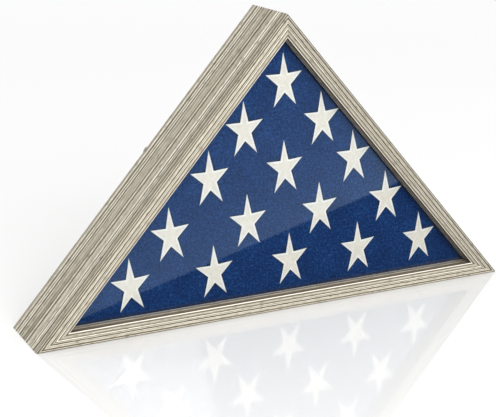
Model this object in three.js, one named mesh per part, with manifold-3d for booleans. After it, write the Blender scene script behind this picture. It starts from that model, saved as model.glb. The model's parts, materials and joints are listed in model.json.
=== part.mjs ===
// A triangular display case for a folded flag. Three mitred wooden rails hold a clear
// glazing sheet, three spacer strips and the folded flag. A hardboard back panel sits in a
// rabbet, where six turn buttons lock it. Two ring hangers carry the case on a wall.
// Millimetres, +Z up. The base lies along X, the front faces -Y and the back faces +Y.

import * as THREE from "three";
import { mergeVertices } from "three/addons/utils/BufferGeometryUtils.js";
import Module from "manifold-3d";

// Driving dimensions of the frame
const baseWidth = 660;
const caseHeight = 377;
const frameDepth = 95;
const faceWidth = 19;
const wallThickness = 15.5;
const lipDepth = 12.4;
const rabbetWidth = 4.5;
const rabbetDepth = 5.6;
const easedRadius = 1.6;
const lipRadius = 0.8;
const gap = 0.3;

// Sheets and strips inside the frame
const slack = 0.5;
const glazingThickness = 2.4;
const stripThickness = 3;
const panelThickness = 5;
const linerThickness = 2;

// The folded flag and its stars
const flagThickness = 60;
const flagClearance = 1;
const flagRound = 3;
// Each row of stars from the bottom up: the centre of its first star, the step to the next
// one, how much shorter each step is than the one before, and each star's rise on the last
const starRows = [
  { count: 5, x: -202.7, z: 56.5, step: 112, shortening: 5.5, rise: 1.1 },
  { count: 4, x: -149.6, z: 113.8, step: 105.5, shortening: 3, rise: 3.5 },
  { count: 3, x: -95.9, z: 178.2, step: 103, shortening: 3, rise: 2.6 },
  { count: 2, x: -48.6, z: 234.9, step: 108.4, shortening: 0, rise: 3 },
  { count: 1, x: 5.6, z: 290.6, step: 0, shortening: 0, rise: 0 },
];
const starTilt = THREE.MathUtils.degToRad(2.5);
const starHalfWidth = 26.5;
const starHalfHeight = 37;
const starInnerRatio = 0.382;
const starThickness = 0.6;

// Hardware on the back
const buttonLength = 24;
const buttonWidth = 8.4;
const buttonThickness = 1.5;
const buttonPlaces = [{ along: 0.3, towards: 1 }, { along: 0.7, towards: -1 }];
const shankRadius = 1.4;
const shankLength = 13;
const screwHeadRadius = 3;
const screwHeadHeight = 1.8;
const strapWidth = 5.2;
const strapThickness = 0.9;
const strapLength = 15;
const strapHole = 10;
const hangerHeight = 0.55;
const ringWire = 0.9;
const ringHalfWidth = 4.3;
const ringLength = 9;
const ringHang = THREE.MathUtils.degToRad(165);
const bumperRadius = 4.2;
const bumperHeight = 5.5;
const bumperPlaces = [0.09, 0.91];
const nailLeg = 6;
const nailThickness = 0.9;
const nailDepth = 10;
const nailHalfAngle = THREE.MathUtils.degToRad(60);

// Depths from the front face
const backFace = frameDepth;
const rabbetFloor = backFace - rabbetDepth;
const glazingFront = lipDepth + gap;
const stripFront = glazingFront + glazingThickness + gap;
const flagFront = stripFront + stripThickness + gap;
const panelFront = rabbetFloor + gap;
const linerFront = rabbetFloor - linerThickness;
const totalDepth = backFace + gap + bumperHeight;
const backLine = (wallThickness - rabbetWidth) / 2;

// The outline's corners, counter-clockwise as seen from the front: left, right, apex
const corners = [
  new THREE.Vector2(-baseWidth / 2, 0),
  new THREE.Vector2(baseWidth / 2, 0),
  new THREE.Vector2(0, caseHeight),
];
const nextCorner = (i) => (i + 1) % 3;
const sides = corners.map((corner, i) => {
  const end = corners[nextCorner(i)];
  const direction = end.clone().sub(corner).normalize();
  return { length: corner.distanceTo(end), direction };
});
const perimeter = sides.reduce((sum, side) => sum + side.length, 0);
const inradius = (baseWidth * caseHeight) / perimeter;
const incentre = new THREE.Vector2(0, inradius);

// The corner of the triangle that lies `inset` inside the outline on every side
function insetCorner(i, inset) {
  return corners[i].clone().sub(incentre).multiplyScalar(1 - inset / inradius).add(incentre);
}

function insetOutline(inset) {
  return corners.map((_, i) => insetCorner(i, inset));
}

// Half of the angle between the two sides that meet at a corner
function halfAngle(i) {
  const before = sides[(i + 2) % 3].direction.clone().negate();
  return before.angleTo(sides[i].direction) / 2;
}

// ---- Geometry helpers ----

const wasm = await Module();
wasm.setup();

function mergedMesh(geometry) {
  const plain = geometry.clone();
  plain.deleteAttribute("normal");
  plain.deleteAttribute("uv");
  return mergeVertices(plain, 1e-4);
}

function toSolid(geometry) {
  const merged = mergedMesh(geometry);
  const index = merged.index.array;
  const triangles = [];
  for (let i = 0; i < index.length; i += 3) {
    const [a, b, c] = index.subarray(i, i + 3);
    if (a !== b && b !== c && c !== a) {
      triangles.push(a, b, c);
    }
  }
  const vertProperties = new Float32Array(merged.attributes.position.array);
  const triVerts = new Uint32Array(triangles);
  return new wasm.Manifold(new wasm.Mesh({ numProp: 3, vertProperties, triVerts }));
}

function toGeometry(solid) {
  const mesh = solid.getMesh();
  const geometry = new THREE.BufferGeometry();
  geometry.setAttribute("position", new THREE.BufferAttribute(mesh.vertProperties, 3));
  geometry.setIndex(new THREE.BufferAttribute(mesh.triVerts, 1));
  return geometry;
}

function cut(geometry, tools) {
  const solid = tools.reduce((rest, tool) => rest.subtract(toSolid(tool)), toSolid(geometry));
  return toGeometry(solid);
}

// A closed mesh between two matching rings of points, with flat ends
function loft(startRing, endRing, outline) {
  const count = outline.length;
  const positions = [...startRing, ...endRing].flatMap((p) => p.toArray());
  const index = [];
  for (let i = 0; i < count; i += 1) {
    const j = (i + 1) % count;
    index.push(i, count + j, j);
    index.push(i, count + i, count + j);
  }
  for (const [a, b, c] of THREE.ShapeUtils.triangulateShape(outline, [])) {
    index.push(a, b, c);
    index.push(count + c, count + b, count + a);
  }
  const geometry = new THREE.BufferGeometry();
  geometry.setAttribute("position", new THREE.Float32BufferAttribute(positions, 3));
  geometry.setIndex(index);
  return geometry;
}

// A flat plate in the plane of the front, between two depths
function prism(shape, front, back, curveSegments = 8) {
  const geometry = new THREE.ExtrudeGeometry(shape, {
    depth: back - front,
    bevelEnabled: false,
    curveSegments,
  });
  return geometry.rotateX(Math.PI / 2).translate(0, back, 0);
}

function rod(radius, front, back, place, segments = 12) {
  const geometry = new THREE.CylinderGeometry(radius, radius, back - front, segments);
  return geometry.translate(place.x, (front + back) / 2, place.y);
}

// Points along an arc, with angles in degrees
function arc(x, y, radius, from, to, steps) {
  return Array.from({ length: steps + 1 }, (_, i) => {
    const angle = THREE.MathUtils.degToRad(from + ((to - from) * i) / steps);
    return new THREE.Vector2(x + radius * Math.cos(angle), y + radius * Math.sin(angle));
  });
}

// A wire of round section along a flat closed loop of points in the XZ plane
function wireLoop(points, radius, sections) {
  const count = points.length;
  const positions = [];
  const index = [];
  points.forEach((point, i) => {
    const before = points[(i + count - 1) % count];
    const after = points[(i + 1) % count];
    const along = after.clone().sub(before).normalize();
    for (let k = 0; k < sections; k += 1) {
      const angle = (2 * Math.PI * k) / sections;
      const out = radius * Math.cos(angle);
      positions.push(point.x + along.y * out, radius * Math.sin(angle), point.y - along.x * out);
    }
  });
  for (let i = 0; i < count; i += 1) {
    const j = (i + 1) % count;
    for (let k = 0; k < sections; k += 1) {
      const m = (k + 1) % sections;
      index.push(i * sections + k, j * sections + m, j * sections + k);
      index.push(i * sections + k, i * sections + m, j * sections + m);
    }
  }
  const geometry = new THREE.BufferGeometry();
  geometry.setAttribute("position", new THREE.Float32BufferAttribute(positions, 3));
  geometry.setIndex(index);
  return geometry;
}

// ---- Places along the rails ----

// A point on a side's line at an inset, at a share of that line's length
function placeOnSide(i, inset, share) {
  return insetCorner(i, inset).lerp(insetCorner(nextCorner(i), inset), share);
}

// A turned group whose local X runs along a direction of the front's plane, Y backwards
function placedGroup(place, depth, direction) {
  const group = new THREE.Group();
  const across = new THREE.Vector3(-direction.y, 0, direction.x);
  const along = new THREE.Vector3(direction.x, 0, direction.y);
  group.setRotationFromMatrix(
    new THREE.Matrix4().makeBasis(along, new THREE.Vector3(0, 1, 0), across),
  );
  group.position.set(place.x, depth, place.y);
  return group;
}

// ---- Materials ----

function material(color, roughness, metalness = 0) {
  return new THREE.MeshStandardMaterial({ color, roughness, metalness });
}

const oak = material(0xbeb6a5, 0.65);
const acrylic = new THREE.MeshStandardMaterial({
  color: 0xdfe8ea,
  roughness: 0.05,
  metalness: 0,
  transparent: true,
  opacity: 0.2,
});
const stripCard = material(0xa7a49c, 0.8);
const blueCotton = material(0x14326a, 0.9);
const whiteThread = material(0xe8e5de, 0.85);
const hardboard = material(0x8a6a4a, 0.75);
const linerBoard = material(0x24262b, 0.95);
const zincSteel = material(0xb9bcc0, 0.35, 0.9);
const rubber = material(0x6e6f70, 0.8);

const model = new THREE.Group();
model.position.y = -totalDepth / 2;

function addPart(parent, name, geometry, partMaterial) {
  const mesh = new THREE.Mesh(geometry, partMaterial);
  mesh.name = name;
  parent.add(mesh);
  return mesh;
}

// ---- Frame ----

// Distance from the outer face across, depth from the front face down
const railProfile = [
  ...arc(easedRadius, easedRadius, easedRadius, 180, 270, 3),
  ...arc(faceWidth - lipRadius, lipRadius, lipRadius, 270, 360, 2),
  new THREE.Vector2(faceWidth, lipDepth),
  new THREE.Vector2(wallThickness, lipDepth),
  new THREE.Vector2(wallThickness, rabbetFloor),
  new THREE.Vector2(wallThickness - rabbetWidth, rabbetFloor),
  new THREE.Vector2(wallThickness - rabbetWidth, backFace),
  ...arc(easedRadius, backFace - easedRadius, easedRadius, 90, 180, 3),
];

// A bar along one side, mitred to meet its neighbours
function mitredBar(i, profile) {
  const { direction } = sides[i];
  const end = nextCorner(i);
  const startShift = gap / 2 / Math.sin(halfAngle(i));
  const endShift = gap / 2 / Math.sin(halfAngle(end));
  const ringAt = (corner, shift) => profile.map(({ x: inset, y: depth }) => {
    const point = insetCorner(corner, inset).addScaledVector(direction, shift);
    return new THREE.Vector3(point.x, depth, point.y);
  });
  return loft(ringAt(i, startShift), ringAt(end, -endShift), profile);
}

// A bent nail across a mitre, seen from behind as a chevron
function nailShape(i, clearance) {
  const inward = incentre.clone().sub(corners[i]).normalize();
  const across = new THREE.Vector2(-inward.y, inward.x);
  const leg = nailLeg + clearance;
  const reach = leg * Math.cos(nailHalfAngle);
  const spread = leg * Math.sin(nailHalfAngle);
  const low = -clearance / Math.sin(nailHalfAngle);
  const high = (nailThickness + clearance) / Math.sin(nailHalfAngle);
  const outline = [
    [low + reach, -spread],
    [low, 0],
    [low + reach, spread],
    [high + reach, spread],
    [high, 0],
    [high + reach, -spread],
  ];
  const origin = insetCorner(i, backLine);
  return new THREE.Shape(outline.map(([along, side]) => (
    origin.clone().addScaledVector(inward, along).addScaledVector(across, side)
  )));
}

const pilotHoles = sides.map(() => []);
function pilotHole(i, place) {
  const front = backFace - shankLength - gap;
  pilotHoles[i].push(rod(shankRadius + gap, front, backFace + 1, place));
}

// ---- Screws ----

const headProfile = [
  [0, -shankLength],
  [shankRadius * 0.45, -shankLength + 1.4],
  [shankRadius, -shankLength + 3.2],
  [shankRadius, 0],
  [screwHeadRadius, 0],
  [screwHeadRadius, screwHeadHeight * 0.45],
  [screwHeadRadius * 0.72, screwHeadHeight * 0.9],
  [0, screwHeadHeight],
].map(([x, y]) => new THREE.Vector2(x, y));

function screwGeometry() {
  const body = new THREE.LatheGeometry(headProfile, 12);
  const slotDepth = screwHeadHeight * 0.55;
  const slots = [0, Math.PI / 2].map((turn) => (
    new THREE.BoxGeometry(screwHeadRadius * 1.25, slotDepth * 2, 0.8)
      .translate(0, screwHeadHeight, 0)
      .rotateY(turn)
  ));
  return cut(body, slots);
}

// ---- Back hardware ----

const sideNames = ["bottom", "right", "left"];

function turnButtonGeometry() {
  const half = buttonWidth / 2;
  const shape = new THREE.Shape();
  shape.absarc(0, 0, half, Math.PI / 2, (3 * Math.PI) / 2);
  shape.absarc(buttonLength - buttonWidth, 0, half, -Math.PI / 2, Math.PI / 2);
  const hole = new THREE.Path();
  hole.absarc(0, 0, shankRadius + gap, 0, 2 * Math.PI);
  shape.holes.push(hole);
  return prism(shape, 0, buttonThickness, 6);
}

function addTurnButtons(i) {
  buttonPlaces.forEach(({ along, towards }, k) => {
    const place = placeOnSide(i, backLine, along);
    const direction = sides[i].direction.clone().multiplyScalar(towards);
    const name = `${sideNames[i]}_${k + 1}`;
    pilotHole(i, place);
    const group = placedGroup(place, backFace + gap, direction);
    addPart(group, `turn_button_${name}`, turnButtonGeometry(), zincSteel);
    const screw = addPart(group, `button_screw_${name}`, screwGeometry(), zincSteel);
    screw.position.y = buttonThickness + gap;
    model.add(group);
  });
}

const curlInner = ringWire + gap;
const curlOuter = curlInner + strapThickness;

// The strap's outline from the side: a flat plate whose end curls round the ring
function strapGeometry() {
  const centre = curlOuter;
  const outline = [
    new THREE.Vector2(-strapLength, strapThickness),
    new THREE.Vector2(-strapLength, 0),
    ...arc(0, centre, curlOuter, -90, 200, 12),
    ...arc(0, centre, curlInner, 200, -90, 12),
  ];
  const plate = new THREE.ExtrudeGeometry(new THREE.Shape(outline), {
    depth: strapWidth,
    bevelEnabled: false,
  }).translate(0, 0, -strapWidth / 2);
  return cut(plate, [rod(shankRadius + gap, -1, 3, new THREE.Vector2(-strapHole, 0))]);
}

// A D-shaped ring whose straight side lies along local Z through the origin
function ringGeometry() {
  const corner = 1.2;
  const bow = Array.from({ length: 15 }, (_, k) => {
    const angle = (Math.PI * k) / 14;
    const reach = corner + (ringLength - corner) * Math.sin(angle);
    return new THREE.Vector2(reach, -ringHalfWidth * Math.cos(angle));
  });
  const bar = [
    new THREE.Vector2(0.2, ringHalfWidth - 0.25),
    new THREE.Vector2(0, ringHalfWidth - corner),
    new THREE.Vector2(0, corner - ringHalfWidth),
    new THREE.Vector2(0.2, 0.25 - ringHalfWidth),
  ];
  return wireLoop([...bow, ...bar], ringWire, 8);
}

// The strap points up its rail, and the loose ring hangs back over it
function addHanger(i, share, towards) {
  const place = placeOnSide(i, backLine, share);
  const direction = sides[i].direction.clone().multiplyScalar(towards);
  const group = placedGroup(place, backFace + gap, direction);
  addPart(group, `hanger_strap_${sideNames[i]}`, strapGeometry(), zincSteel);
  const ring = addPart(group, `hanger_ring_${sideNames[i]}`, ringGeometry(), zincSteel);
  ring.position.y = curlOuter;
  ring.rotation.z = ringHang;
  const screw = addPart(group, `hanger_screw_${sideNames[i]}`, screwGeometry(), zincSteel);
  screw.position.set(-strapHole, strapThickness + gap, 0);
  pilotHole(i, place.addScaledVector(direction, -strapHole));
  model.add(group);
}

function addBumper(share, k) {
  const place = placeOnSide(0, backLine, share);
  const profile = [
    new THREE.Vector2(0, 0),
    new THREE.Vector2(bumperRadius, 0),
    new THREE.Vector2(bumperRadius * 0.93, bumperHeight - 0.8),
    new THREE.Vector2(bumperRadius * 0.75, bumperHeight),
    new THREE.Vector2(0, bumperHeight),
  ];
  const geometry = new THREE.LatheGeometry(profile, 16);
  const bumper = addPart(model, `wall_bumper_${k === 0 ? "left" : "right"}`, geometry, rubber);
  bumper.position.set(place.x, backFace + gap, place.y);
}

sides.forEach((_, i) => addTurnButtons(i));
addHanger(1, hangerHeight, 1);
addHanger(2, 1 - hangerHeight, -1);
bumperPlaces.forEach(addBumper);

const nailPockets = corners.map((_, i) => (
  prism(nailShape(i, gap), backFace - nailDepth - gap, backFace + 1)
));
sides.forEach((_, i) => {
  const tools = [...pilotHoles[i], nailPockets[i], nailPockets[nextCorner(i)]];
  addPart(model, `${sideNames[i]}_rail`, cut(mitredBar(i, railProfile), tools), oak);
});
["left", "right", "apex"].forEach((name, i) => {
  const nail = prism(nailShape(i, 0), backFace - nailDepth, backFace);
  addPart(model, `mitre_nail_${name}`, nail, zincSteel);
});

// ---- Glazing and spacer strips ----

const glazingShape = new THREE.Shape(insetOutline(wallThickness + slack));
const glazing = prism(glazingShape, glazingFront, glazingFront + glazingThickness);
addPart(model, "glazing", glazing, acrylic);

const stripProfile = [
  new THREE.Vector2(wallThickness + slack, stripFront),
  new THREE.Vector2(faceWidth, stripFront),
  new THREE.Vector2(faceWidth, stripFront + stripThickness),
  new THREE.Vector2(wallThickness + slack, stripFront + stripThickness),
];
sides.forEach((_, i) => {
  addPart(model, `${sideNames[i]}_spacer_strip`, mitredBar(i, stripProfile), stripCard);
});

// ---- Folded flag ----

// A triangle with rounded corners, as a folded bundle of cloth has
function roundedTriangle(inset, radius) {
  const centres = insetOutline(inset + radius);
  const points = centres.flatMap((centre, i) => {
    const before = sides[(i + 2) % 3].direction;
    const from = THREE.MathUtils.radToDeg(before.angle()) - 90;
    const to = THREE.MathUtils.radToDeg(sides[i].direction.angle()) - 90;
    return arc(centre.x, centre.y, radius, from, to < from ? to + 360 : to, 5);
  });
  return new THREE.Shape(points);
}

const flagOutline = roundedTriangle(wallThickness + flagClearance, flagRound);
const flagBundle = prism(flagOutline, flagFront, flagFront + flagThickness);
addPart(model, "folded_flag", flagBundle, blueCotton);

function starShape() {
  const points = Array.from({ length: 10 }, (_, k) => {
    const angle = Math.PI / 2 + (k * Math.PI) / 5;
    const ratio = k % 2 === 0 ? 1 : starInnerRatio;
    return new THREE.Vector2(
      starHalfWidth * ratio * Math.cos(angle),
      starHalfHeight * ratio * Math.sin(angle),
    );
  });
  return new THREE.Shape(points);
}

// The stars lean slightly, and their rows rise and close up where the cloth turns away
const starField = new THREE.Group();
starField.position.y = flagFront - gap - starThickness;
starRows.forEach((row, level) => {
  for (let k = 0; k < row.count; k += 1) {
    const star = prism(starShape(), 0, starThickness);
    const mesh = addPart(starField, `star_row${level + 1}_${k + 1}`, star, whiteThread);
    mesh.position.x = row.x + k * row.step - (row.shortening * k * (k - 1)) / 2;
    mesh.position.z = row.z + k * row.rise;
    mesh.rotation.y = -starTilt;
  }
});
model.add(starField);

// ---- Back panel ----

const panelShape = new THREE.Shape(insetOutline(wallThickness - rabbetWidth + slack));
const panel = prism(panelShape, panelFront, panelFront + panelThickness);
addPart(model, "back_panel", panel, hardboard);

const linerShape = new THREE.Shape(insetOutline(wallThickness + slack));
const liner = prism(linerShape, linerFront, linerFront + linerThickness);
addPart(model, "panel_liner", liner, linerBoard);

export default model;
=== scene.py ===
"""A folded flag in its triangular display case, on a pale studio floor.

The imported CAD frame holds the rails, glazing, back panel and hardware. This script adds the
cloth bundle with its folded layers, the embroidered stars, the finer hardware, the materials,
the light and the camera. Lengths are in metres, in the frame's own axes.
"""

import json
import math

import bmesh
import bpy
from mathutils import Matrix, Vector, noise
from mathutils.geometry import delaunay_2d_cdt


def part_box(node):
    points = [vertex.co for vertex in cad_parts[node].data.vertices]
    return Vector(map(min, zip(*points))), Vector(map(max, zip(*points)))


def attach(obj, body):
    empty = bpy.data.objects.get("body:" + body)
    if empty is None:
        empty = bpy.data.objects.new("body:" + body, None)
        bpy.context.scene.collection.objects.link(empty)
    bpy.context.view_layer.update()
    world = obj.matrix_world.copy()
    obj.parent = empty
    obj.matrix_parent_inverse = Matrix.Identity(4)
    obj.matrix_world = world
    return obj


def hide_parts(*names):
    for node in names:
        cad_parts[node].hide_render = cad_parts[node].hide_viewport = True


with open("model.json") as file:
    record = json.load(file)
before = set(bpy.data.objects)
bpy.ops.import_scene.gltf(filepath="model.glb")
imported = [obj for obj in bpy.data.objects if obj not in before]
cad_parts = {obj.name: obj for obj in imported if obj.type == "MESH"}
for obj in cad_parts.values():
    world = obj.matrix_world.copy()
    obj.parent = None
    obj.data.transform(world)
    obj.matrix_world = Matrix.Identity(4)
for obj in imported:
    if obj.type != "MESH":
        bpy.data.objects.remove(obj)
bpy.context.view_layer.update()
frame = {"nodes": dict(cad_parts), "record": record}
MM = 0.001

# The case's outline, from the frame
RAIL_LOW, RAIL_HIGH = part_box("bottom_rail")
FRONT = RAIL_LOW.y
BACK = RAIL_HIGH.y
HALF_BASE = (RAIL_HIGH.x - RAIL_LOW.x) / 2
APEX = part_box("left_rail")[1].z
CORNERS = (Vector((-HALF_BASE, 0)), Vector((HALF_BASE, 0)), Vector((0, APEX)))
SIDES = ("bottom", "right", "left")
RAIL_FACE = 19 * MM
STRIP_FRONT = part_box("bottom_spacer_strip")[0].y - FRONT

# The camera and what it looks at
AZIMUTH = math.radians(26.47)
ELEVATION = math.radians(16.48)
DISTANCE = 1.607
TARGET = Vector((-0.0535, FRONT, 0.1414))
LENS = 94.9

# ---- Plane geometry of the triangle ----


def next_corner(i):
    return (i + 1) % 3


DIRECTIONS = [(CORNERS[next_corner(i)] - CORNERS[i]).normalized() for i in range(3)]
INWARD = [Vector((-d.y, d.x)) for d in DIRECTIONS]
LENGTHS = [(CORNERS[next_corner(i)] - CORNERS[i]).length for i in range(3)]
INRADIUS = 2 * HALF_BASE * APEX / sum(LENGTHS)
INCENTRE = Vector((0, INRADIUS))


def inset_corner(i, inset):
    return INCENTRE + (CORNERS[i] - INCENTRE) * (1 - inset / INRADIUS)


def linear(red, green, blue):
    """A colour given as it looks on a screen, 0 to 255, as the shader's linear values."""
    values = (c / 255 for c in (red, green, blue))
    return (*(v / 12.92 if v < 0.04045 else ((v + 0.055) / 1.055) ** 2.4 for v in values), 1)


# ---- Node materials ----


class Shader:
    """A material whose nodes are added one call at a time."""

    def __init__(self, name):
        self.material = bpy.data.materials.new(name)
        self.material.use_nodes = True
        self.tree = self.material.node_tree
        self.surface = self.tree.nodes["Principled BSDF"]
        self.output = self.tree.nodes["Material Output"]

    def node(self, kind, inputs=None, **settings):
        made = self.tree.nodes.new("ShaderNode" + kind)
        for key, value in settings.items():
            setattr(made, key, value)
        for key, value in (inputs or {}).items():
            if isinstance(value, bpy.types.NodeSocket):
                self.tree.links.new(value, made.inputs[key])
            else:
                made.inputs[key].default_value = value
        return made

    def math(self, operation, a, b=0.0):
        return self.node("Math", {0: a, 1: b}, operation=operation).outputs[0]

    def add(self, a, b):
        return self.math("ADD", a, b)

    def times(self, a, b):
        return self.math("MULTIPLY", a, b)

    def object_place(self):
        return self.node("TexCoord").outputs["Object"]

    def uv(self):
        return self.node("TexCoord").outputs["UV"]

    def split(self, vector):
        return self.node("SeparateXYZ", {0: vector}).outputs

    def join(self, x, y, z):
        return self.node("CombineXYZ", {0: x, 1: y, 2: z}).outputs[0]

    def offset(self, vector, by):
        return self.node("VectorMath", {0: vector, 1: by}, operation="SUBTRACT").outputs[0]

    def dot(self, vector, axis):
        made = self.node("VectorMath", {0: vector, 1: axis}, operation="DOT_PRODUCT")
        return made.outputs["Value"]

    def scaled(self, vector, by):
        return self.node("VectorMath", {0: vector, 1: by}, operation="MULTIPLY").outputs[0]

    def noise(self, vector, scale=1.0, detail=2.0, roughness=0.5, distortion=0.0):
        made = self.node("TexNoise", {
            "Vector": vector,
            "Scale": scale,
            "Detail": detail,
            "Roughness": roughness,
            "Distortion": distortion,
        })
        return made.outputs["Fac"]

    def ranged(self, value, low, high, start=0.0, end=1.0, smooth=False):
        made = self.node("MapRange", {
            "Value": value,
            "From Min": low,
            "From Max": high,
            "To Min": start,
            "To Max": end,
        }, interpolation_type="SMOOTHSTEP" if smooth else "LINEAR", clamp=True)
        return made.outputs[0]

    def ramp(self, value, *stops):
        made = self.node("ValToRGB", {0: value})
        elements = made.color_ramp.elements
        while len(elements) < len(stops):
            elements.new(0.5)
        for element, (position, colour) in zip(elements, stops):
            element.position = position
            element.color = colour
        return made.outputs[0]

    def mix(self, factor, a, b, blend="MIX"):
        made = self.node("Mix", {0: factor}, data_type="RGBA", blend_type=blend)
        for key, value in ((6, a), (7, b)):
            if isinstance(value, bpy.types.NodeSocket):
                self.tree.links.new(value, made.inputs[key])
            else:
                made.inputs[key].default_value = value
        return made.outputs[2]

    def line(self, value, centre, half_width):
        """1 where a value crosses the centre, and 0 further off than the half width."""
        off = self.math("ABSOLUTE", self.math("SUBTRACT", value, centre))
        return self.ranged(off, 0.0, half_width, 1.0, 0.0, smooth=True)

    def bump(self, height, distance, strength):
        inputs = {"Height": height, "Distance": distance, "Strength": strength}
        return self.node("Bump", inputs).outputs[0]

    def use(self, shader):
        """Puts another shader in the place of the one that every material starts with."""
        self.tree.links.new(shader, self.output.inputs["Surface"])
        self.tree.nodes.remove(self.surface)
        return self.material

    def set(self, **values):
        names = {"colour": "Base Color", "roughness": "Roughness", "metallic": "Metallic",
                 "normal": "Normal", "specular": "Specular IOR Level", "sheen": "Sheen Weight",
                 "sheen_roughness": "Sheen Roughness"}
        for key, value in values.items():
            socket = self.surface.inputs[names[key]]
            if isinstance(value, bpy.types.NodeSocket):
                self.tree.links.new(value, socket)
            else:
                socket.default_value = value
        return self.material


# Painted light and shade for each rail, as a factor on its colour: bottom, right and left; the
# right rail is painted darkest
RAIL_PAINTED_SHADES = (1.01, 0.78, 0.97)


def wood(i):
    """Weathered oak with straight streaks along one rail. They meet at the mitres."""
    s = Shader(f"weathered_oak_{SIDES[i]}")
    corner = Vector((CORNERS[i].x, FRONT, CORNERS[i].y))
    place = s.offset(s.object_place(), corner)
    along = s.dot(place, (DIRECTIONS[i].x, 0, DIRECTIONS[i].y))
    inset = s.dot(place, (INWARD[i].x, 0, INWARD[i].y))
    depth = s.split(place)[1]
    from_middle = s.math("ABSOLUTE", s.math("SUBTRACT", along, LENGTHS[i] / 2))

    def streaks(per_length, per_inset, per_depth, detail, shift, run=None):
        stretched = s.join(
            s.add(s.times(along if run is None else run, per_length), shift),
            s.times(inset, per_inset),
            s.times(depth, per_depth),
        )
        return s.noise(stretched, detail=detail)

    own = 5.7 * i
    tone = streaks(0.8, 70, 45, 1, 2.0, from_middle)
    bands = streaks(0.25, 300, 215, 0, 8.0, from_middle)
    lines = streaks(0.3, 500, 330, 0, 15.0, from_middle)
    fine = streaks(0.4, 860, 520, 0, 44.0, from_middle)
    hairs = streaks(1.5, 1500, 1200, 1, 20.0 + own)
    fibre = streaks(14, 3000, 3000, 1, 31.0 + own)
    colour = s.ramp(tone, (0.35, linear(162, 155, 137)), (0.65, linear(180, 173, 156)))
    # Dark and pale streaks: where each field's value starts to show, where it shows most, and
    # how much of which tint it then has
    for field, start, full, most, tint in (
        (bands, 0.42, 0.36, 0.95, (72, 63, 46)),
        (bands, 0.6, 0.65, 0.95, (248, 242, 226)),
        (lines, 0.44, 0.38, 0.95, (70, 61, 45)),
        (lines, 0.58, 0.64, 0.95, (250, 245, 230)),
        (fine, 0.41, 0.33, 0.6, (92, 82, 64)),
        (fine, 0.6, 0.68, 0.5, (240, 234, 218)),
        (hairs, 0.42, 0.32, 0.35, (100, 90, 72)),
    ):
        colour = s.mix(s.ranged(field, start, full, 0.0, most), colour, linear(*tint))
    pores = s.ranged(streaks(110, 1300, 900, 0, 23.0 + own), 0.62, 0.68)
    flecks = s.ranged(streaks(70, 640, 420, 1, 27.0 + own), 0.55, 0.63)
    colour = s.mix(s.times(flecks, 0.2), colour, linear(112, 101, 82))
    colour = s.mix(s.times(pores, 0.6), colour, linear(78, 68, 52))
    colour = s.mix(s.ranged(fibre, 0.35, 0.65, 0.0, 0.14), colour, linear(136, 126, 106))
    # A dark line of stain lies beside the inner arris, which carries a pale painted highlight
    beside = s.line(inset, RAIL_FACE - 2.6 * MM, 0.8 * MM)
    colour = s.mix(s.times(beside, 0.5), colour, linear(110, 98, 78))
    # The lip's inner face has painted shade, brown and strongest just behind the arris
    inner = s.ranged(inset, RAIL_FACE - 0.5 * MM, RAIL_FACE - 0.3 * MM)
    inner = s.times(inner, s.ranged(depth, 0.4 * MM, 0.9 * MM))
    lip_painted_shade = s.ranged(depth, 1 * MM, 8 * MM, 0.95, 0.55)
    colour = s.mix(s.times(inner, lip_painted_shade), colour, linear(88, 74, 54))
    # A painted highlight makes the inner front arris pale, except on the lip's inner face
    arris_painted_highlight = s.times(s.line(inset, RAIL_FACE - 0.4 * MM, 1.1 * MM), s.math("SUBTRACT", 1.0, inner))
    colour = s.mix(s.times(arris_painted_highlight, 0.8), colour, linear(252, 248, 238))
    # Painted shade makes a dark line along the outer faces just behind the front
    outer = s.ranged(inset, 0.2 * MM, 1.0 * MM, 1.0, 0.0)
    behind_front_painted_shade = s.line(depth, 4.2 * MM, 2.6 * MM)
    colour = s.mix(s.times(s.times(outer, behind_front_painted_shade), 0.7), colour, linear(84, 74, 56))
    # Each rail's colour is scaled by its painted light and shade
    shade = RAIL_PAINTED_SHADES[i]
    colour = s.mix(1.0, colour, (shade, shade, shade, 1), "MULTIPLY")
    relief = s.add(s.times(fibre, 0.25), s.times(pores, -0.6))
    for field, start, full, dip in (
        (lines, 0.43, 0.35, -0.9), (bands, 0.43, 0.35, -0.9), (hairs, 0.42, 0.32, -0.3),
    ):
        relief = s.add(relief, s.ranged(field, start, full, 0.0, dip))
    return s.set(
        colour=colour,
        roughness=s.ranged(fibre, 0.3, 0.7, 0.66, 0.82),
        specular=0.14,
        normal=s.bump(relief, 0.14 * MM, 0.7),
    )


def glazing_material():
    s = Shader("clear_glazing")
    clear = s.node("BsdfTransparent", {"Color": (0.985, 0.992, 0.99, 1)})
    gloss = s.node("BsdfGlossy", {"Color": (1, 1, 1, 1), "Roughness": 0.015})
    fresnel = s.node("Fresnel", {"IOR": 1.47})
    mixed = s.node("MixShader", {
        0: fresnel.outputs[0],
        1: clear.outputs[0],
        2: gloss.outputs[0],
    })
    return s.use(mixed.outputs[0])


CLOTH_THREAD = 0.7 * MM
STITCH = 0.5 * MM


def weave(s, place, thread):
    """Height of a plain weave, with over and under threads, in a plane's own metres."""
    x, y, _ = s.split(place)
    turns = math.pi / thread
    across = s.math("SINE", s.times(x, turns))
    along = s.math("SINE", s.times(y, turns))
    checker = s.math("SIGN", s.times(across, along))
    warp = s.math("ABSOLUTE", across)
    weft = s.math("ABSOLUTE", along)
    over = s.ranged(checker, -1.0, 1.0)
    return s.add(s.times(warp, over), s.times(weft, s.math("SUBTRACT", 1.0, over)))


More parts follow.
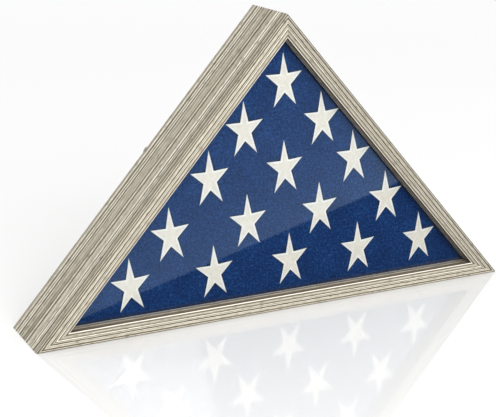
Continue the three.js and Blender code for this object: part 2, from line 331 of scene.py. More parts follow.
def cloth():
    """Deep blue cotton bunting: plain weave, uneven dye and a faint slub."""
    s = Shader("blue_cotton")
    place = s.uv()
    threads = weave(s, place, CLOTH_THREAD)
    slub = s.noise(s.scaled(place, (520, 130, 1)), detail=2)
    slub_across = s.noise(s.scaled(place, (130, 520, 1)), detail=2)
    grain = s.noise(place, 330, 3, 0.75)
    cloud = s.noise(place, 30, 3)
    tone = s.add(s.times(slub, 0.25), s.times(slub_across, 0.25))
    tone = s.add(tone, s.times(grain, 0.8))
    tone = s.add(tone, s.times(cloud, 0.2))
    colour = s.ramp(
        s.ranged(tone, 0.55, 0.95),
        (0.0, linear(3, 28, 68)),
        (0.5, linear(11, 51, 105)),
        (1.0, linear(38, 84, 146)),
    )
    # Painted shade darkens the cloth where it turns under beside the strips
    flat = s.object_place()
    insets = [
        s.dot(s.offset(flat, (CORNERS[i].x, 0, CORNERS[i].y)), (INWARD[i].x, 0, INWARD[i].y))
        for i in range(3)
    ]
    nearest = s.math("MINIMUM", s.math("MINIMUM", insets[0], insets[1]), insets[2])
    # The painted shade is strongest at the cloth's edge and fades over 3 mm
    turned = s.ranged(nearest, PLY_INSET, PLY_INSET + 3 * MM, 0.85, 0.0, smooth=True)
    colour = s.mix(turned, colour, linear(3, 10, 30))
    height = s.add(threads, s.times(grain, 0.8))
    return s.set(
        colour=colour,
        roughness=0.85,
        specular=0.2,
        sheen=0.03,
        sheen_roughness=0.5,
        normal=s.bump(height, 0.12 * MM, 0.5),
    )


def thread():
    """Ivory satin stitches. V is the distance in from the star's edge, and past it is a dark blue
    painted shade of the crease round the star.
    """
    s = Shader("star_thread")
    place = s.uv()
    run, inset, _ = s.split(place)
    stitches = s.math("ABSOLUTE", s.math("SINE", s.times(run, math.pi / STITCH)))
    uneven = s.noise(s.scaled(place, (1800, 300, 1)), detail=2)
    mottle = s.noise(place, 160, 3, 0.6)
    colour = s.ramp(
        s.add(s.times(uneven, 0.5), s.times(mottle, 0.5)),
        (0.35, linear(232, 225, 211)),
        (0.65, linear(248, 243, 233)),
    )
    # A painted highlight makes the raised border near white
    border = s.ranged(inset, 2.0 * MM, 2.6 * MM, 0.85, 0.0)
    colour = s.mix(border, colour, linear(255, 255, 253))
    # Past the star's edge the thread is painted dark blue, as the shade of the crease round the
    # star
    crease_painted_shade = s.ranged(inset, 0.0, -0.2 * MM)
    colour = s.mix(crease_painted_shade, colour, linear(2, 9, 30))
    height = s.add(stitches, uneven)
    return s.set(
        colour=colour,
        roughness=0.7,
        specular=0.3,
        sheen=0.1,
        normal=s.bump(height, 0.15 * MM, 0.6),
    )


def hardboard():
    s = Shader("hardboard")
    place = s.object_place()
    fibres = s.noise(s.scaled(place, (300, 300, 700)), detail=4, roughness=0.7)
    blotch = s.noise(place, 14, 3)
    colour = s.ramp(
        s.add(s.times(fibres, 0.75), s.times(blotch, 0.25)),
        (0.32, linear(96, 66, 42)),
        (0.52, linear(128, 92, 62)),
        (0.7, linear(154, 116, 82)),
    )
    return s.set(
        colour=colour,
        roughness=s.ranged(fibres, 0.3, 0.7, 0.5, 0.75),
        specular=0.35,
        normal=s.bump(fibres, 0.1 * MM, 0.5),
    )


def felt():
    s = Shader("liner_felt")
    place = s.object_place()
    fuzz = s.noise(place, 900, 3, 0.8, 1.5)
    tufts = s.noise(place, 160, 3, 0.7)
    colour = s.ramp(
        s.add(s.times(fuzz, 0.5), s.times(tufts, 0.5)),
        (0.35, linear(20, 21, 25)),
        (0.65, linear(52, 54, 60)),
    )
    return s.set(
        colour=colour,
        roughness=0.95,
        specular=0.15,
        sheen=0.3,
        normal=s.bump(fuzz, 0.25 * MM, 0.8),
    )


def strip_board():
    s = Shader("strip_board")
    place = s.object_place()
    fibres = s.noise(place, 700, 3, 0.7)
    depth = s.math("SUBTRACT", s.split(place)[1], FRONT)
    behind_glass = s.ranged(depth, STRIP_FRONT + 0.4 * MM, STRIP_FRONT + 1.2 * MM)
    raw = s.ramp(fibres, (0.35, linear(120, 112, 98)), (0.65, linear(146, 138, 124)))
    # Behind the glass the board is painted near white: painted light that keeps it pale in its
    # shaded recess
    painted_light_tone = s.ramp(fibres, (0.35, linear(226, 226, 226)), (0.65, linear(250, 250, 250)))
    colour = s.mix(behind_glass, raw, painted_light_tone)
    return s.set(
        colour=colour,
        roughness=0.8,
        specular=0.3,
        normal=s.bump(fibres, 0.05 * MM, 0.5),
    )


def zinc():
    s = Shader("zinc_steel")
    place = s.object_place()
    brushed = s.noise(s.scaled(place, (250, 2600, 250)), detail=3)
    stain = s.noise(place, 240, 3)
    colour = s.ramp(
        s.add(s.times(brushed, 0.4), s.times(stain, 0.6)),
        (0.35, linear(178, 180, 182)),
        (0.65, linear(214, 216, 218)),
    )
    return s.set(
        colour=colour,
        metallic=1.0,
        roughness=s.ranged(stain, 0.3, 0.7, 0.3, 0.42),
        normal=s.bump(brushed, 0.02 * MM, 0.5),
    )


def rubber():
    s = Shader("grey_rubber")
    place = s.object_place()
    speckle = s.noise(place, 1400, 3, 0.7)
    colour = s.ramp(speckle, (0.35, linear(92, 93, 95)), (0.65, linear(124, 125, 127)))
    return s.set(
        colour=colour,
        roughness=s.ranged(speckle, 0.3, 0.7, 0.6, 0.85),
        specular=0.3,
        normal=s.bump(speckle, 0.05 * MM, 0.6),
    )


# ---- Pieces ----


def mesh_from(name, bm):
    """A mesh made from a bmesh, which is freed."""
    mesh = bpy.data.meshes.new(name)
    bm.to_mesh(mesh)
    bm.free()
    return mesh


def add_object(name, data):
    made = bpy.data.objects.new(name, data)
    bpy.context.scene.collection.objects.link(made)
    return made


def new_piece(name, mesh, material, body):
    piece = add_object(name, mesh)
    mesh.materials.append(material)
    for polygon in mesh.polygons:
        polygon.use_smooth = True
    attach(piece, body)
    return piece


def paint(node, material):
    target = frame["nodes"][node]
    for slot in target.material_slots:
        slot.material = material


# ---- The folded flag ----

FLAG_LOW, FLAG_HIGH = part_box("folded_flag")
# A 9.5 by 5 ft flag, opened out
PACKETS = 12
PACKET_PLIES = 4
PLIES = PACKET_PLIES * PACKETS
# What the plies leave free of the CAD bundle's depth, half of it at the front
SPARE_DEPTH = 1 * MM
PLY_PITCH = (FLAG_HIGH.y - FLAG_LOW.y - SPARE_DEPTH) / PLIES
PLY_INSET = 19.2 * MM
CORNER_RADIUS = 1.5 * MM
SIDE_SWAY = 0.9 * MM
BEND_REACH = 0.55
SIDE_STEPS = 30
BEND_STEPS = 6
CROWN = 1.2 * MM
# How far in from the cloth's edge the crown and the waves come to their full height
CROWN_RUN = 22 * MM
WAVES_RUN = 12 * MM
# Plies behind the front one that follow its crown, each less than the one before
FOLLOWING_PLIES = 8
BACK_WAVES = 0.4 * MM
# The points inside a ply lie in staggered rows: their step, the rows' share of it, and how
# many fit on each side of the middle
GRID_STEP = 6.5 * MM
GRID_ROW = 0.866
GRID_REACH = 60
GRID_MARGIN = 4 * MM
TOLERANCE = 1e-7


def edge_distance(point):
    """How far a point of the front plane lies inside the case's outline."""
    return min((point - CORNERS[i]).dot(INWARD[i]) for i in range(3))


def cloth_depth(x, z):
    """How far the cloth stands forward of the front ply's plane: a low crown and soft waves."""
    edge = edge_distance(Vector((x, z))) - PLY_INSET
    crown = CROWN * (1 - math.exp(-max(edge, 0) / CROWN_RUN))
    waves = 0.55 * MM * noise.noise(Vector((x * 14, z * 14, 3.0)))
    waves += 0.25 * MM * noise.noise(Vector((x * 38, z * 38, 9.0)))
    return crown + waves * min(1, max(edge, 0) / WAVES_RUN)


def ply_loop(k):
    """The outline of one ply: points of each side, then of the rounded corner that follows."""
    sides, corners = [], []
    for i in range(3):
        start, end = inset_corner(i, PLY_INSET), inset_corner(next_corner(i), PLY_INSET)
        run = (end - start).normalized()
        half_start = half_angle(i)
        half_end = half_angle(next_corner(i))
        first = start + run * CORNER_RADIUS / math.tan(half_start)
        last = end - run * CORNER_RADIUS / math.tan(half_end)
        points = []
        for t in range(SIDE_STEPS + 1):
            share = t / SIDE_STEPS
            point = first.lerp(last, share)
            fade = math.sin(math.pi * share) ** 0.5 if 0 < share < 1 else 0
            sway = noise.noise(Vector((share * 5, k // PACKET_PLIES * 1.7, i * 10.0)))
            points.append(point + INWARD[i] * (SIDE_SWAY * fade * (sway + 0.4)))
        sides.append(points)
    for i in range(3):
        turn_from, turn_to = sides[i][-1], sides[next_corner(i)][0]
        tip = inset_corner(next_corner(i), PLY_INSET)
        arc = []
        for t in (0.25, 0.5, 0.75):
            arc.append(turn_from * (1 - t) ** 2 + tip * 2 * t * (1 - t) + turn_to * t * t)
        corners.append(arc)
    return sides, corners


def half_angle(i):
    before = (CORNERS[(i + 2) % 3] - CORNERS[i]).normalized()
    after = (CORNERS[next_corner(i)] - CORNERS[i]).normalized()
    return before.angle(after) / 2


def ply_pairs():
    """Which plies join, as (side, ply, ply), for a strip of four plies folded in triangles."""
    pairs = []
    for p in range(PACKETS):
        base = PACKET_PLIES * p
        if p % 2 == 0:
            pairs += [(1, base, base + 3), (1, base + 1, base + 2)]
        else:
            pairs += [(1, base + 2, base + 3)]
        if p + 1 < PACKETS:
            side = 0 if p % 2 == 0 else 2
            last = base + 2 * PACKET_PLIES - 1
            pairs += [(side, base + j, last - j) for j in range(PACKET_PLIES)]
    return pairs


def flag_depth(k):
    """Where one ply's plane lies. Ply 0 is the front one."""
    return FLAG_LOW.y + SPARE_DEPTH / 2 + (k + 0.5) * PLY_PITCH


def flag_mesh():
    bm = bmesh.new()
    uv = bm.loops.layers.uv.new("cloth")
    loops = [ply_loop(k) for k in range(PLIES)]
    side_verts = []
    for k in range(PLIES):
        sides, corners = loops[k]
        outline = []
        spans = []
        for i in range(3):
            spans.append(list(range(len(outline), len(outline) + len(sides[i]))))
            outline += sides[i] + corners[i]
        inner = []
        if k in (0, PLIES - 1):
            inner = interior_points()
        points = [Vector(p) for p in outline] + inner
        edges = [(j, (j + 1) % len(outline)) for j in range(len(outline))]
        coords, _, faces, *_ = delaunay_2d_cdt(points, edges, [], 1, TOLERANCE)
        follow = max(0.0, 1 - k / FOLLOWING_PLIES)
        verts = []
        for p in coords:
            depth = flag_depth(k) - follow * cloth_depth(p.x, p.y)
            if k == PLIES - 1:
                depth += BACK_WAVES * noise.noise(Vector((p.x * 15, p.y * 15, 5.0)))
            verts.append(bm.verts.new((p.x, depth, p.y)))
        for face in faces:
            ring = [verts[j] for j in face]
            if k % 2 == 1:
                ring.reverse()
            made = bm.faces.new(ring)
            for loop in made.loops:
                loop[uv].uv = (loop.vert.co.x, loop.vert.co.z)
        side_verts.append([[verts[j] for j in span] for span in spans])
    for side, a, b in ply_pairs():
        add_bend(bm, uv, side, side_verts[a][side], side_verts[b][side])
    bmesh.ops.recalc_face_normals(bm, faces=bm.faces)
    return bm


def interior_points():
    """Staggered points inside the front and back plies, which carry their crown and waves."""
    points = []
    rows = int(APEX / (GRID_STEP * GRID_ROW)) + 1
    for r in range(rows):
        z = r * GRID_STEP * GRID_ROW
        for c in range(-GRID_REACH, GRID_REACH + 1):
            p = Vector((c * GRID_STEP + (r % 2) * GRID_STEP / 2, z))
            if edge_distance(p) > PLY_INSET + GRID_MARGIN:
                points.append(p)
    return points


def add_bend(bm, uv, side, near, far):
    """The fold that joins two plies along one side, bulging outwards."""
    outward = Vector((-INWARD[side].x, 0, -INWARD[side].y))
    rows = [near]
    for step in range(1, BEND_STEPS):
        angle = math.pi * step / BEND_STEPS
        row = []
        for t, (u, v) in enumerate(zip(near, far)):
            half = (v.co.y - u.co.y) / 2
            share = t / (len(near) - 1)
            # The bend is flatter near the side's two ends
            taper = min(1, math.sin(math.pi * share) * 6) if 0 < share < 1 else 0.25
            place = u.co.lerp(v.co, 0.5) + outward * (half * BEND_REACH * math.sin(angle) * taper)
            place.y = u.co.y + half * (1 - math.cos(angle))
            blend = u.co.lerp(v.co, step / BEND_STEPS)
            shift = blend - u.co.lerp(v.co, 0.5)
            row.append(bm.verts.new((place.x + shift.x, place.y, place.z + shift.z)))
        rows.append(row)
    rows.append(far)
    arc = math.pi * abs(far[0].co.y - near[0].co.y) / 2
    for r in range(BEND_STEPS):
        for t in range(len(near) - 1):
            ring = [rows[r][t], rows[r][t + 1], rows[r + 1][t + 1], rows[r + 1][t]]
            made = bm.faces.new(ring)
            for loop, (dt, dr) in zip(made.loops, ((0, 0), (1, 0), (1, 1), (0, 1))):
                along = (t + dt) / (len(near) - 1) * LENGTHS[side]
                loop[uv].uv = (along, (r + dr) / BEND_STEPS * arc)


def star_outline(half_width, half_height, inner_ratio):
    """A star's ten corners, from the top point round."""
    points = []
    for k in range(10):
        angle = math.pi / 2 + k * math.pi / 5
        ratio = 1 if k % 2 == 0 else inner_ratio
        points.append(Vector((half_width * ratio * math.cos(angle),
                              half_height * ratio * math.sin(angle))))
    return points


def shrunk(points, by):
    """An outline moved inwards by a distance on every edge, or outwards with blunt tips."""
    moved = []
    count = len(points)
    for k in range(count):
        before, here, after = points[k - 1], points[k], points[(k + 1) % count]
        n1 = Vector((-(here - before).y, (here - before).x)).normalized()
        n2 = Vector((-(after - here).y, (after - here).x)).normalized()
        share = 1 + n1.dot(n2)
        if by < 0:
            share = max(share, 0.7)
        moved.append(here + (n1 + n2) * by / share)
    return moved


STITCH_LIMIT = PLY_INSET + 0.4 * MM
STAR_TILT = math.radians(2.5)
# How far out a star's inner corners lie, as a share of its tips
STAR_INNER = 0.35
STAR_EDGE_STEPS = 14
STAR_ROUGHNESS = 0.12 * MM
# How far a stitch runs round the star per step, in the material's coordinates
STITCH_RUN = 1.7 * MM
FILL_STEP = 2.2 * MM
FILL_ROW = 0.9
FILL_MARGIN = 0.8 * MM
# Distance in from the edge and height over the cloth, in millimetres: an outline painted dark as
# crease shade, a padded border and a fill
STAR_RINGS = (
    (-1.9, -0.15), (-1.6, 0.12), (-0.6, 0.16), (-0.1, 0.02),
    (0.0, 0.1), (0.25, 0.45), (0.8, 0.65), (1.5, 0.62), (2.1, 0.45), (2.6, 0.42),
)


def kept_on_cloth(point):
    """Moves a point of the outline stitch inwards to where the cloth's front is still flat."""
    for i in range(3):
        short = STITCH_LIMIT - (point - CORNERS[i]).dot(INWARD[i])
        if short > 0:
            point = point + INWARD[i] * short
    return point


def star_place(node):
    """A star's outline before its tilt, and its centre, worked out from the CAD star's box."""
    low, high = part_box(node)
    cosine, sine = math.cos(STAR_TILT), math.sin(STAR_TILT)
    arm, foot = math.radians(18), math.radians(54)
    half_width = (high.x - low.x) / (2 * math.cos(arm) * cosine)
    drop = half_width * math.cos(foot) * sine
    half_height = (high.z - low.z - drop) / (cosine * (1 + math.sin(foot)))
    base = star_outline(half_width, half_height, STAR_INNER)
    centre_x = high.x - half_width * math.cos(arm) * cosine + half_height * math.sin(arm) * sine
    centre_z = high.z - half_height * cosine
    return base, centre_x, centre_z


def star_mesh(node):
    """A star's border as rings that follow the cloth, and its fill as a net inside them."""
    base, centre_x, centre_z = star_place(node)
    turn = Matrix.Rotation(STAR_TILT, 2)
    bm = bmesh.new()
    uv = bm.loops.layers.uv.new("thread")
    rings = []
    for inset, height in STAR_RINGS:
        corners = shrunk(base, inset * MM)
        ring = []
        for k, corner in enumerate(corners):
            after = corners[(k + 1) % len(corners)]
            for t in range(STAR_EDGE_STEPS):
                p = corner.lerp(after, t / STAR_EDGE_STEPS)
                place = Vector((k * 3.1 + t * 1.9, inset, centre_x * 50))
                rough = STAR_ROUGHNESS * noise.noise(place)
                p = turn @ (p + (p.normalized() * rough))
                x, z = kept_on_cloth(Vector((centre_x + p.x, centre_z + p.y)))
                depth = flag_depth(0) - cloth_depth(x, z) - height * MM
                ring.append(bm.verts.new((x, depth, z)))
        rings.append(ring)
    count = len(rings[0])
    for r in range(len(rings) - 1):
        for j in range(count):
            n = (j + 1) % count
            made = bm.faces.new([rings[r][j], rings[r][n], rings[r + 1][n], rings[r + 1][j]])
            for loop, (dj, dr) in zip(made.loops, ((0, 0), (1, 0), (1, 1), (0, 1))):
                loop[uv].uv = ((j + dj) * STITCH_RUN, STAR_RINGS[r + dr][0] * MM)
    outline = [Vector((v.co.x, v.co.z)) for v in rings[-1]]
    inner = fill_points(outline, centre_x, centre_z)
    edges = [(j, (j + 1) % count) for j in range(count)]
    coords, _, faces, *_ = delaunay_2d_cdt(outline + inner, edges, [], 1, TOLERANCE)
    verts = list(rings[-1])
    for p in coords[count:]:
        rise = 0.4 + 0.12 * noise.noise(Vector((p.x * 220, p.y * 60, 1.0)))
        depth = flag_depth(0) - cloth_depth(p.x, p.y) - rise * MM
        verts.append(bm.verts.new((p.x, depth, p.y)))
    for face in faces:
        made = bm.faces.new([verts[j] for j in face])
        for loop in made.loops:
            # The added metre keeps the fill well past the border's width in the material
            loop[uv].uv = (loop.vert.co.z, loop.vert.co.x + 1)
    bmesh.ops.recalc_face_normals(bm, faces=bm.faces)
    if sum(f.normal.y for f in bm.faces) > 0:
        bmesh.ops.reverse_faces(bm, faces=bm.faces)
    return bm


def fill_points(outline, centre_x, centre_z):
    """Staggered points inside a star's border."""
    points = []
    for a in range(-16, 17):
        for b in range(-20, 21):
            x = centre_x + a * FILL_STEP + (b % 2) * FILL_STEP / 2
            p = Vector((x, centre_z + b * FILL_STEP * FILL_ROW))
            if inside(p, outline, FILL_MARGIN):
                points.append(p)
    return points


def inside(point, outline, margin):
    """Whether a point lies within an outline and no nearer to it than the margin."""
    hit = False
    for k, a in enumerate(outline):
        b = outline[(k + 1) % len(outline)]
        edge = b - a
        share = max(0, min(1, (point - a).dot(edge) / edge.length_squared))
        if (a + edge * share - point).length < margin:
            return False
        if (a.y > point.y) != (b.y > point.y):
            if point.x < a.x + (point.y - a.y) / (b.y - a.y) * (b.x - a.x):
                hit = not hit
    return hit


# ---- Hardware on the back ----

ROUND_STEPS = 32
HEAD_HEIGHT = 1.8 * MM
SHANK_RADIUS = 1.4 * MM
SHANK_CORE = 1.0 * MM
SHANK_LENGTH = 13 * MM
THREAD_PITCH = 1.3 * MM
TIP_LENGTH = 3 * MM
BUTTON_HOLE = 1.7 * MM
BUTTON_LENGTH = 24 * MM
BUTTON_WIDTH = 8.4 * MM
RING_WIRE = 0.9 * MM
RING_HALF_WIDTH = 4.3 * MM
RING_LENGTH = 9 * MM
RING_CORNER = 1.2 * MM
RING_CIRCLE_STEPS = 14
RING_HANG = math.radians(165)
STRAP_ROUNDING = 0.18 * MM
# Edges that turn by more than this stay sharp, and are the ones that get rounded
SHARP = math.radians(35)


def loft(rings, closed=False):
    """A skin through matching rings of points, closed on itself or with flat ends."""
    bm = bmesh.new()
    rows = [[bm.verts.new(point) for point in ring] for ring in rings]
    count = len(rows[0])
    for near, far in zip(rows, rows[1:] + (rows[:1] if closed else [])):
        for j in range(count):
            n = (j + 1) % count
            bm.faces.new([near[j], near[n], far[n], far[j]])
    if not closed:
        bm.faces.new(rows[0])
        bm.faces.new(rows[-1])
    bmesh.ops.recalc_face_normals(bm, faces=bm.faces)
    return bm


def turned_ring(radius, y):
    """One ring of a solid turned about Y. The radius is a number or a function of the angle."""
    ring = []
    for k in range(ROUND_STEPS):
        angle = 2 * math.pi * k / ROUND_STEPS
        r = radius(angle) if callable(radius) else radius
        ring.append((r * math.cos(angle), y, r * math.sin(angle)))
    return ring


def threaded(y):
    """The shank's radius round the screw's thread at a height, as a function of the angle."""
    fade = min(1, (y + SHANK_LENGTH) / TIP_LENGTH)

    def radius(angle):
        turn = (y / THREAD_PITCH + angle / (2 * math.pi)) % 1
        ridge = max(0, 1 - abs(turn - 0.5) * 3)
        return max(0.15 * MM, (SHANK_CORE + (SHANK_RADIUS - SHANK_CORE) * ridge) * fade)

    return radius


def recess_blade(turn):
    """One tapered blade of the cross that is cut into a screw's head."""
    rings = []
    for y, length, width in ((0.75, 1.1, 0.34), (2.0, 2.05, 0.46)):
        corners = ((length, width), (-length, width), (-length, -width), (length, -width))
        rings.append([(x * MM, y * MM, z * MM) for x, z in corners])
    bm = loft(rings)
    bmesh.ops.rotate(bm, verts=bm.verts, matrix=Matrix.Rotation(turn, 3, "Y"))
    return bm


def screw_mesh():
    """A pan-head wood screw with a cross recess: its head's base at the origin, its tip at -Y."""
    head = ((0.3, 1.8), (1.1, 1.77), (1.8, 1.65), (2.35, 1.42), (2.72, 1.1), (2.92, 0.75),
            (3.0, 0.4), (3.0, 0.12), (2.88, 0.0), (1.4, 0.0))
    rings = [turned_ring(radius * MM, y * MM) for radius, y in head]
    step = THREAD_PITCH / 5
    rows = int(SHANK_LENGTH / step)
    rings += [turned_ring(threaded(-k * step), -k * step) for k in range(1, rows + 1)]
    screw = add_object("screw", mesh_from("screw", loft(rings)))
    blades = [
        add_object("blade", mesh_from("blade", recess_blade(turn))) for turn in (0, math.pi / 2)
    ]
    for blade in blades:
        cut = screw.modifiers.new("cut", "BOOLEAN")
        cut.operation = "DIFFERENCE"
        cut.object = blade
    graph = bpy.context.evaluated_depsgraph_get()
    mesh = bpy.data.meshes.new_from_object(screw.evaluated_get(graph))
    for made in (screw, *blades):
        bpy.data.objects.remove(made)
    return mesh


def add_screw(node, pattern, turn, material):
    """Places a screw with its head where the CAD screw's is, and its recess turned a little."""
    low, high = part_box(node)
    mesh = pattern.copy()
    place = Vector(((low.x + high.x) / 2, high.y - HEAD_HEIGHT, (low.z + high.z) / 2))
    mesh.transform(Matrix.Translation(place) @ Matrix.Rotation(turn, 4, "Y"))
    finish_hardware(node, mesh, material, "case")


def finish_hardware(node, mesh, material, body):
    piece = new_piece(f"detailed_{node}", mesh, material, body)
    piece.data.set_sharp_from_angle(angle=SHARP)
    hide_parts(node)


def pivot_matrix(joint, node, i):
    """The frame of a turning piece: X along its rail to where it reaches, Y backwards."""
    pivot = Vector(joint["pos_m"])
    low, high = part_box(node)
    run = Vector((DIRECTIONS[i].x, 0, DIRECTIONS[i].y))
    if ((low + high) / 2 - pivot).dot(run) < 0:
        run = -run
    back = Vector((0, 1, 0))
    matrix = Matrix((run, back, run.cross(back))).transposed().to_4x4()
    matrix.translation = pivot
    return matrix


def button_ring(inset, y, reach, half_width):
    """A turn button's outline at an inset, from its far end round to the start."""
    radius = half_width - inset
    ring = []
    for centre, first in ((reach, -90), (0, 90)):
        for k in range(17):
            angle = math.radians(first + k * 180 / 16)
            ring.append((centre + radius * math.cos(angle), y, radius * math.sin(angle)))
    return ring


def hole_ring(outline, radius, y):
    """Points round the hole, each one in line with a point of the outline."""
    angles = [math.atan2(z, x) for x, _, z in outline]
    return [(radius * math.cos(a), y, radius * math.sin(a)) for a in angles]


def button_bmesh(length, width, thickness):
    """A flat stamped button, rounded along its edges, with the screw's hole at the origin."""
    half = width / 2
    reach = length - width
    low, high = -thickness / 2, thickness / 2
    # The outline is drawn in by the first of these where the edge meets a face, and by the
    # second at the middle of its rounding
    edge, corner = 0.32 * MM, 0.1 * MM
    rings = [button_ring(inset, y, reach, half) for inset, y in (
        (edge, low), (corner, low + corner), (0, low + edge),
        (0, high - edge), (corner, high - corner), (edge, high),
    )]
    for radius, y in ((0.25, high), (0.06, high - 0.08 * MM), (0, high - 0.3 * MM),
                      (0, low + 0.3 * MM), (0.06, low + 0.08 * MM), (0.25, low)):
        rings.append(hole_ring(rings[0], BUTTON_HOLE + radius * MM, y))
    return loft(rings, closed=True)


def ring_path():
    """The D ring's centre line: a bow, two tight corners and a straight side at X zero."""
    bow = []
    for k in range(33):
        angle = math.pi * k / 32
        reach = RING_CORNER + (RING_LENGTH - RING_CORNER) * math.sin(angle)
        bow.append(Vector((reach, 0, -RING_HALF_WIDTH * math.cos(angle))))
    corner = []
    for k in range(1, 7):
        angle = math.pi / 2 * k / 7
        corner.append((RING_CORNER * (1 - math.sin(angle)),
                       RING_HALF_WIDTH - RING_CORNER * (1 - math.cos(angle))))
    side = RING_HALF_WIDTH - RING_CORNER
    first = [Vector((x, 0, z)) for x, z in corner]
    last = [Vector((x, 0, -z)) for x, z in reversed(corner)]
    bar = [Vector((0, 0, side - 2 * side * k / 8)) for k in range(9)]
    return bow + first + bar + last


def ring_bmesh():
    """The D ring: round wire along its centre line."""
    path = ring_path()
    count = len(path)
    rings = []
    for k, point in enumerate(path):
        along = (path[(k + 1) % count] - path[k - 1]).normalized()
        out = Vector((along.z, 0, -along.x))
        ring = []
        for t in range(RING_CIRCLE_STEPS):
            angle = 2 * math.pi * t / RING_CIRCLE_STEPS
            lift = Vector((0, RING_WIRE * math.sin(angle), 0))
            ring.append(point + out * (RING_WIRE * math.cos(angle)) + lift)
        rings.append(ring)
    return loft(rings, closed=True)


def add_turning(node, joint, i, bm, hang, material):
    """Places a button or a ring on its pivot, turned back to where it lies at rest."""
    mesh = mesh_from(node, bm)
    matrix = pivot_matrix(joint, node, i)
    if hang:
        matrix = matrix @ Matrix.Rotation(math.pi - hang, 4, "Z")
    mesh.transform(matrix)
    finish_hardware(node, mesh, material, joint["child"])


def bumper_bmesh():
    """A round self-adhesive rubber foot, a little wider where it is stuck on."""
    profile = ((0.4, 0.0), (4.05, 0.0), (4.2, 0.12), (4.12, 1.2), (3.98, 3.4), (3.86, 4.4),
               (3.66, 4.95), (3.3, 5.3), (2.8, 5.45), (2.2, 5.5), (1.9, 5.42), (0.4, 5.3))
    return loft([turned_ring(radius * MM, y * MM) for radius, y in profile])


def round_edges(node, width):
    """Rounds a CAD node's sharp edges by modifiers, which leave its mesh as it is."""
    target = frame["nodes"][node]
    target.modifiers.new("weld", "WELD").merge_threshold = 0.001 * MM
    bevel = target.modifiers.new("bevel", "BEVEL")
    bevel.width = width
    bevel.segments = 3
    bevel.limit_method = "ANGLE"
    bevel.angle_limit = SHARP


def build_hardware(metal, rubber_finish):
    joints = {joint["child"]: joint for joint in frame["record"]["behaviour"]["joints"]}
    pattern = screw_mesh()
    for i, side in enumerate(SIDES):
        for k in (1, 2):
            node = f"turn_button_{side}_{k}"
            low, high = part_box(node)
            bm = button_bmesh(BUTTON_LENGTH, BUTTON_WIDTH, high.y - low.y)
            add_turning(node, joints[f"{node}_body"], i, bm, 0, metal)
            add_screw(f"button_screw_{side}_{k}", pattern, 0.5 + 0.9 * (2 * i + k), metal)
    for i, side in ((1, "right"), (2, "left")):
        node = f"hanger_ring_{side}"
        add_turning(node, joints[f"{node}_body"], i, ring_bmesh(), RING_HANG, metal)
        add_screw(f"hanger_screw_{side}", pattern, 0.4 + i, metal)
        round_edges(f"hanger_strap_{side}", STRAP_ROUNDING)
    for side in ("left", "right"):
        node = f"wall_bumper_{side}"
        low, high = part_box(node)
        mesh = mesh_from(node, bumper_bmesh())
        place = Vector(((low.x + high.x) / 2, low.y, (low.z + high.z) / 2))
        mesh.transform(Matrix.Translation(place))
        finish_hardware(node, mesh, rubber_finish, "case")


# ---- Stage: floor, lights and camera ----


# The world is dark where both its Y and its Z are under about -0.05, and light elsewhere
WORLD_DARK = (0.465, (0.01, 0.01, 0.012, 1))
WORLD_LIGHT = (0.475, (1, 1, 1, 1))
WORLD_STRENGTH = 1.06
FLOOR_REACH = 30
SENSOR_WIDTH = 36
CLIP_NEAR = 0.05
CLIP_FAR = 100
# Where the glare's lower edge crosses the glazing, as (x, z) on its front
GLARE_LEFT = (-0.2656, 0.0299)
GLARE_RIGHT = (0.1756, 0.1441)
CARD_DEPTH = 0.75
CARD_HEIGHT = 1.0
# How far the card goes on past the two ends of that edge
CARD_SPARE = 0.5
# The share of the card's height over which its glow falls to nothing
CARD_FALL = 0.42
CARD_GLOW = 0.66


def build_world():
    world = bpy.data.worlds.new("studio")
    bpy.context.scene.world = world
    world.use_nodes = True
    nodes, links = world.node_tree.nodes, world.node_tree.links
    background = nodes["Background"]
    place = nodes.new("ShaderNodeTexCoord")
    parts = nodes.new("ShaderNodeSeparateXYZ")
    ramp = nodes.new("ShaderNodeValToRGB")
    for element, (position, colour) in zip(ramp.color_ramp.elements, (WORLD_DARK, WORLD_LIGHT)):
        element.position = position
        element.color = colour
    lit = nodes.new("ShaderNodeMath")
    lit.operation = "MAXIMUM"
    # From -1 to 1 down to 0 to 1
    half = nodes.new("ShaderNodeMath")
    half.operation = "MULTIPLY_ADD"
    half.inputs[1].default_value = 0.5
    half.inputs[2].default_value = 0.5
    links.new(place.outputs["Generated"], parts.inputs[0])
    links.new(parts.outputs["Y"], lit.inputs[0])
    links.new(parts.outputs["Z"], lit.inputs[1])
    links.new(lit.outputs[0], half.inputs[0])
    links.new(half.outputs[0], ramp.inputs[0])
    links.new(ramp.outputs[0], background.inputs["Color"])
    background.inputs["Strength"].default_value = WORLD_STRENGTH


def build_floor():
    """A pale glossy floor that reflections don't see."""
    mesh = bpy.data.meshes.new("floor")
    far = FLOOR_REACH
    corners = [(-far, -far, 0), (far, -far, 0), (far, far, 0), (-far, far, 0)]
    mesh.from_pydata(corners, [], [(0, 1, 2, 3)])
    floor = add_object("floor", mesh)
    s = Shader("pale_floor")
    mesh.materials.append(s.set(colour=(0.8, 0.8, 0.8, 1), roughness=0.06, specular=1.0))
    floor.visible_glossy = False


def add_light(name, place, aim, size, power):
    data = bpy.data.lights.new(name, "AREA")
    data.shape = "RECTANGLE"
    data.size, data.size_y = size
    data.energy = power
    light = add_object(name, data)
    light.location = place
    light.rotation_euler = (Vector(aim) - Vector(place)).to_track_quat("-Z", "Y").to_euler()


def build_camera():
    forward = Vector((
        math.sin(AZIMUTH) * math.cos(ELEVATION),
        math.cos(AZIMUTH) * math.cos(ELEVATION),
        -math.sin(ELEVATION),
    ))
    data = bpy.data.cameras.new("camera")
    data.lens = LENS
    data.sensor_width = SENSOR_WIDTH
    data.clip_start = CLIP_NEAR
    data.clip_end = CLIP_FAR
    camera = add_object("camera", data)
    camera.location = TARGET - forward * DISTANCE
    camera.rotation_mode = "QUATERNION"
    camera.rotation_quaternion = forward.to_track_quat("-Z", "Y")
    bpy.context.scene.camera = camera
    return camera


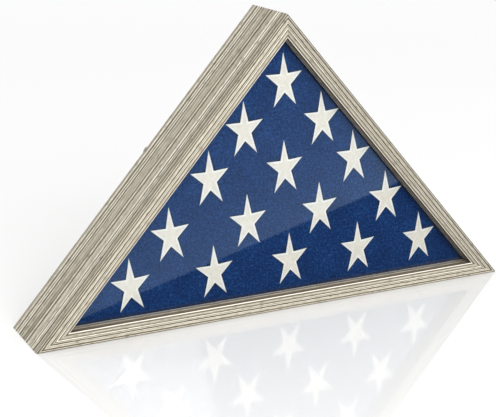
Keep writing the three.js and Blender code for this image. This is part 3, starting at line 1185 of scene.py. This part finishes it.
def build_glare_card(camera):
    """A dim soft card that only reflections see. Its lower edge makes the glare's edge."""
    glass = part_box("glazing")[0].y

    def mirrored(x, z):
        """Where the camera's ray to a point of the glazing goes on to in the card's plane."""
        ray = Vector((x, glass, z)) - camera.location
        ray.y = -ray.y
        return Vector((x, glass, z)) + ray * (-CARD_DEPTH / ray.y)

    left, right = mirrored(*GLARE_LEFT), mirrored(*GLARE_RIGHT)
    run = (right - left).normalized()
    up = Vector((-run.z, 0, run.x))
    if up.z < 0:
        up = -up
    low_left, low_right = left - run * CARD_SPARE, right + run * CARD_SPARE
    corners = [low_left, low_right, low_right + up * CARD_HEIGHT, low_left + up * CARD_HEIGHT]
    mesh = bpy.data.meshes.new("glare_card")
    mesh.from_pydata([tuple(c) for c in corners], [], [(0, 1, 2, 3)])
    layer = mesh.uv_layers.new(name="card")
    for loop, value in zip(layer.data, ((0, 0), (1, 0), (1, 1), (0, 1))):
        loop.uv = value
    card = add_object("glare_card", mesh)
    s = Shader("glare_card")
    height = s.split(s.uv())[1]
    fall = s.ranged(height, 0.0, CARD_FALL, 1.0, 0.0)
    glow = s.node("Emission", {"Color": (0.6, 0.79, 1.0, 1), "Strength": s.times(fall, CARD_GLOW)})
    # Adding a clear shader keeps the card unseen where it doesn't glow
    clear = s.node("BsdfTransparent")
    both = s.node("AddShader", {0: glow.outputs[0], 1: clear.outputs[0]})
    mesh.materials.append(s.use(both.outputs[0]))
    card.visible_camera = False
    card.visible_diffuse = False
    card.visible_shadow = False
    card.visible_transmission = False
    card.visible_volume_scatter = False


# ---- Build ----

build_world()
build_floor()
build_glare_card(build_camera())
add_light("front_soft", place=(-0.1, -2.6, 1.4), aim=(0, 0, 0.15), size=(2.4, 1.6), power=54)

flag_cloth = mesh_from("folded_flag_cloth", flag_mesh())
flag = new_piece("folded_flag_cloth", flag_cloth, cloth(), "flag")
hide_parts("folded_flag")

ivory = thread()
for node in [n for n in frame["nodes"] if n.startswith("star_")]:
    name = f"embroidered_{node}"
    star = new_piece(name, mesh_from(name, star_mesh(node)), ivory, "flag")
    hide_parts(node)

# The spacer strips' board carries painted light behind the glass
strip_board_painted_light = strip_board()
for i, side in enumerate(SIDES):
    paint(f"{side}_rail", wood(i))
    paint(f"{side}_spacer_strip", strip_board_painted_light)
paint("glazing", glazing_material())
paint("back_panel", hardboard())
paint("panel_liner", felt())
steel = zinc()
for node in frame["nodes"]:
    if node.startswith(("hanger_strap", "mitre_nail")):
        paint(node, steel)
build_hardware(steel, rubber())
round_edges("back_panel", 0.5 * MM)
round_edges("panel_liner", 0.4 * MM)
round_edges("glazing", 0.2 * MM)

bpy.context.scene.view_settings.view_transform = "Standard"
